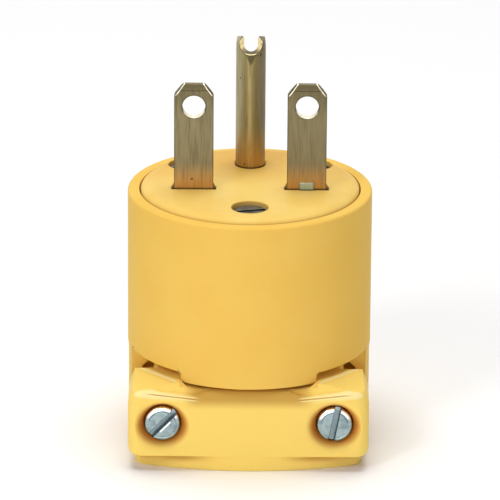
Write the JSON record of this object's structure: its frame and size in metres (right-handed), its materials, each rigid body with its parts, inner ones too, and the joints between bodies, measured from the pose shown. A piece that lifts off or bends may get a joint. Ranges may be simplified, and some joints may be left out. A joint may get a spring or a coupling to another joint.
{
  "type": "straight blade plug",
  "caption": "Round yellow cord plug with flat blades in one line, a folded U ground pin, a screwed face and a screwed cord clamp.",
  "frame": {"origin": "centre of the plug's cord end, on the plug's axis", "axes": "+Z along the axis towards the blade tips, -Y to the side of the clamp screws, +Y to the ground pin"},
  "size_m": [0.0397, 0.0396, 0.064],
  "materials": {
    "yellow_shell": "satin moulded vinyl",
    "yellow_face": "satin moulded vinyl",
    "brass_contact": "rolled and stamped, tarnished",
    "brass_screw": "turned",
    "green_screw": "green dyed plating",
    "plated_steel": "dull nickel plating",
    "zinc_steel": "bright zinc plating",
    "fibre_board": "pressed insulating board"
  },
  "bodies": {
    "root": {"shell": "yellow_shell", "contact_carrier": "yellow_face", "clamp_jaw": "yellow_shell", "blade_left": "brass_contact", "blade_right": "brass_contact", "ground_pin": "brass_contact", "pressure_plate_left": "plated_steel", "pressure_plate_right": "plated_steel", "pressure_plate_ground": "plated_steel", "terminal_screw_left": "brass_screw", "terminal_screw_right": "brass_screw", "ground_screw": "green_screw", "terminal_cover": "fibre_board", "face_screw_front": "plated_steel", "face_screw_left": "plated_steel", "face_screw_right": "plated_steel", "insert_front": "brass_screw", "insert_left": "brass_screw", "insert_right": "brass_screw", "clamp_screw_left": "zinc_steel", "clamp_screw_right": "zinc_steel", "clamp_nut_left": "zinc_steel", "clamp_nut_right": "zinc_steel"}
  },
  "joints": []
}
